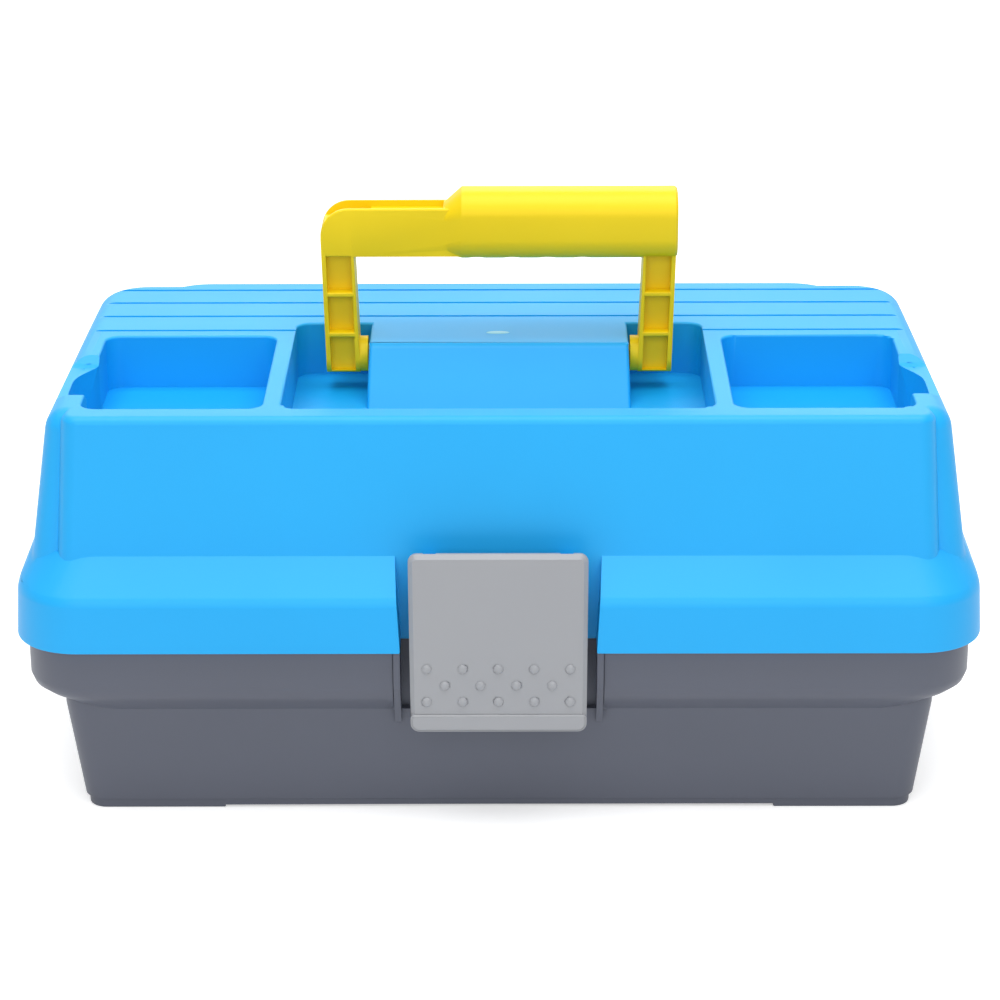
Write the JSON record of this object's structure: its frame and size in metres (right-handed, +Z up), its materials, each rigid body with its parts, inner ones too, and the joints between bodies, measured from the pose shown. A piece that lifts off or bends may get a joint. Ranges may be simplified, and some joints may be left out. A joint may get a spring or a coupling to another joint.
{
  "type": "fishing tackle box",
  "caption": "Portable tackle box: hinged lid with open roof pockets and a recessed folding handle, front swing latch, and two trays that step out on parallel cranks as the lid opens.",
  "frame": {"origin": "on the floor, below the middle of the closed box", "axes": "+Z up; the front with the latch faces -Y; +X to the right as the picture sees it"},
  "size_m": [0.33, 0.2001, 0.1978],
  "materials": {
    "grey_plastic": "satin",
    "blue_plastic": "satin",
    "yellow_plastic": "satin",
    "light_grey_plastic": "satin",
    "tray_plastic": "satin",
    "arm_plastic": "satin",
    "steel": "satin"
  },
  "bodies": {
    "base": {"base_tub": "grey_plastic", "hinge_pins": "steel", "arm_base_pins": "steel"},
    "lid": {"lid_shell": "blue_plastic", "latch_pin": "steel", "bracket_left": "arm_plastic", "bracket_right": "arm_plastic", "bracket_screws": "steel"},
    "latch_body": {"latch": "light_grey_plastic"},
    "handle_body": {"handle": "yellow_plastic"},
    "arms": {"arm_left": "arm_plastic", "arm_right": "arm_plastic"},
    "lower_tray_body": {"lower_tray": "tray_plastic", "lower_tray_rivets": "steel", "lower_divider_1": "tray_plastic", "lower_divider_2": "tray_plastic", "lower_divider_3": "tray_plastic", "lower_divider_4": "tray_plastic", "lower_divider_5": "tray_plastic"},
    "upper_tray_body": {"upper_tray": "tray_plastic", "upper_tray_rivets": "steel", "upper_divider_1": "tray_plastic", "upper_divider_2": "tray_plastic", "upper_divider_3": "tray_plastic", "upper_divider_4": "tray_plastic", "upper_divider_5": "tray_plastic"}
  },
  "joints": [
    {"name": "lid_hinge", "type": "hinge", "parent": "base", "child": "lid", "pos_m": [0, 0.0964, 0.061], "axis": [-1, 0, 0], "range_deg": [0, 95]},
    {"name": "arm_swing", "type": "hinge", "parent": "base", "child": "arms", "pos_m": [0, 0.0214, 0.061], "axis": [-1, 0, 0], "range_deg": [0, 95]},
    {"name": "lower_tray_level", "type": "hinge", "parent": "arms", "child": "lower_tray_body", "pos_m": [0, -0.0236, 0.076], "axis": [-1, 0, 0], "range_deg": [-95, 0]},
    {"name": "upper_tray_level", "type": "hinge", "parent": "arms", "child": "upper_tray_body", "pos_m": [0, -0.0566, 0.086], "axis": [-1, 0, 0], "range_deg": [-95, 0]},
    {"name": "latch_swing", "type": "hinge", "parent": "lid", "child": "latch_body", "pos_m": [0, -0.0914, 0.0933], "axis": [-1, 0, 0], "range_deg": [-2, 85]},
    {"name": "handle_fold", "type": "hinge", "parent": "lid", "child": "handle_body", "pos_m": [0, 0.012, 0.1365], "axis": [1, 0, 0], "range_deg": [-35, 90]}
  ],
  "couplings": [
    {"joint": "arm_swing", "follows": "lid_hinge", "ratio": 1},
    {"joint": "lower_tray_level", "follows": "lid_hinge", "ratio": -1},
    {"joint": "upper_tray_level", "follows": "lid_hinge", "ratio": -1}
  ]
}
